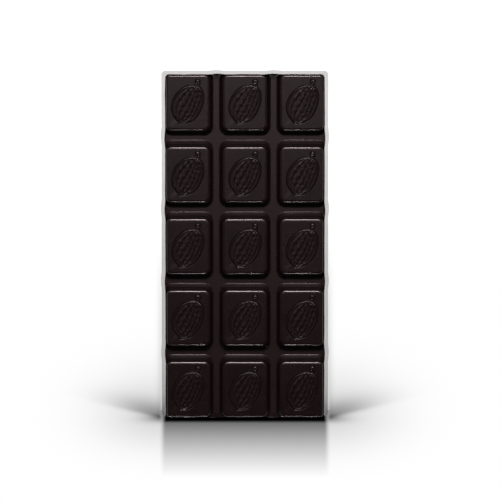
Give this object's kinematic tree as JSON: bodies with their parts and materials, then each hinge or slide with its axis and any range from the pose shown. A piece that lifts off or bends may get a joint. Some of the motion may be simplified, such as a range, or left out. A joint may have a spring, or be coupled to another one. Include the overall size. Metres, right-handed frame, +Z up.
{
  "type": "chocolate bar",
  "caption": "Dark chocolate bar of raised blocks, each embossed with a cocoa pod, lying in a shallow silver foil tray.",
  "frame": {"origin": "middle of the underside of the foil, on the surface that the bar lies on", "axes": "+Z up out of the embossed side, +Y along the bar to the end that the pods' stems point to, +X across the bar"},
  "size_m": [0.0778, 0.1626, 0.0087],
  "materials": {
    "chocolate": "semi-gloss dark chocolate, nearly black brown",
    "foil": "thin bright foil, faintly crinkled"
  },
  "bodies": {
    "root": {"chocolate_bar": "chocolate", "foil": "foil"}
  },
  "joints": []
}
